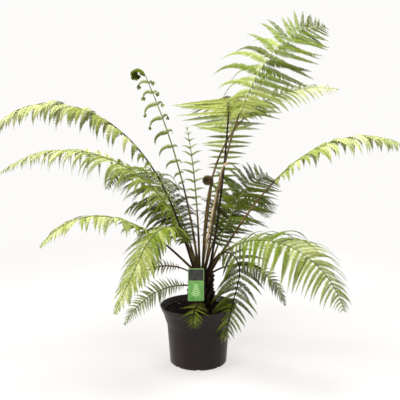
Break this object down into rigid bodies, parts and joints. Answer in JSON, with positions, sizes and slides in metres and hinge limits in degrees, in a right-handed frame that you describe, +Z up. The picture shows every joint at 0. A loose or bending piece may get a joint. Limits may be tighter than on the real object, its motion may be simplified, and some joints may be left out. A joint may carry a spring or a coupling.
{
  "type": "potted tree fern",
  "caption": "Tree fern in a black grower's pot, with a short fibrous trunk, arching divided fronds on brown stalks, a fiddlehead and a bare plant label.",
  "frame": {"origin": "centre of the flat underside of the pot, on the floor", "axes": "+Z up, +Y away from the side the picture was taken from, +X to the right in that view"},
  "size_m": [1.5449, 0.9546, 1.3446],
  "materials": {
    "pot": "moulded black plastic, slightly warm, with a satin sheen",
    "soil": "dark moist compost with bark crumbs",
    "trunk": "dark fibrous trunk with the stubs of old stalks",
    "label_card": "printed plastic card, green below and dark above",
    "label_stake": "dark moulded plastic",
    "stalk": "brown stalk with fine hairs",
    "frond": "soft leaflets, yellow-green where young and dark green inside the crown",
    "dry_frond": "dried brown leaflets",
    "straw": "pale straw-coloured young stalk"
  },
  "bodies": {
    "root": {"pot": "pot", "root_ball": "soil", "trunk": "trunk", "label_card": "label_card", "label_stake": "label_stake", "fiddlehead": "stalk", "pale_stalk": "straw", "stalk_left_arch": "stalk", "stalk_left_middle": "stalk", "stalk_left_spread": "stalk", "stalk_left_droop": "stalk", "stalk_left_inner": "stalk", "stalk_left_low": "stalk", "stalk_left_dry": "dry_frond", "stalk_young": "stalk", "stalk_slim_upright": "stalk", "stalk_back_tall": "stalk", "stalk_back_left": "stalk", "stalk_back_right": "stalk", "stalk_right_high": "stalk", "stalk_right_lime": "stalk", "stalk_right_arch": "stalk", "stalk_right_inner": "stalk", "stalk_right_spread": "stalk", "stalk_right_small": "stalk", "stalk_right_hang": "stalk", "stalk_front_small": "stalk", "frond_left_arch": "frond", "frond_left_middle": "frond", "frond_left_spread": "frond", "frond_left_droop": "frond", "frond_left_inner": "frond", "frond_left_low": "frond", "frond_left_dry": "dry_frond", "frond_young": "frond", "frond_slim_upright": "frond", "frond_back_tall": "frond", "frond_back_left": "frond", "frond_back_right": "frond", "frond_right_high": "frond", "frond_right_lime": "frond", "frond_right_arch": "frond", "frond_right_inner": "frond", "frond_right_spread": "frond", "frond_right_small": "frond", "frond_right_hang": "frond", "frond_front_small": "frond", "frond_left_arch_tip": "frond", "frond_left_middle_tip": "frond", "frond_left_spread_tip": "frond", "frond_left_droop_tip": "frond", "frond_back_tall_tip": "frond", "frond_back_left_tip": "frond", "frond_back_right_tip": "frond", "frond_right_high_tip": "frond", "frond_right_arch_tip": "frond", "frond_right_spread_tip": "frond", "frond_right_hang_tip": "frond"}
  },
  "joints": []
}
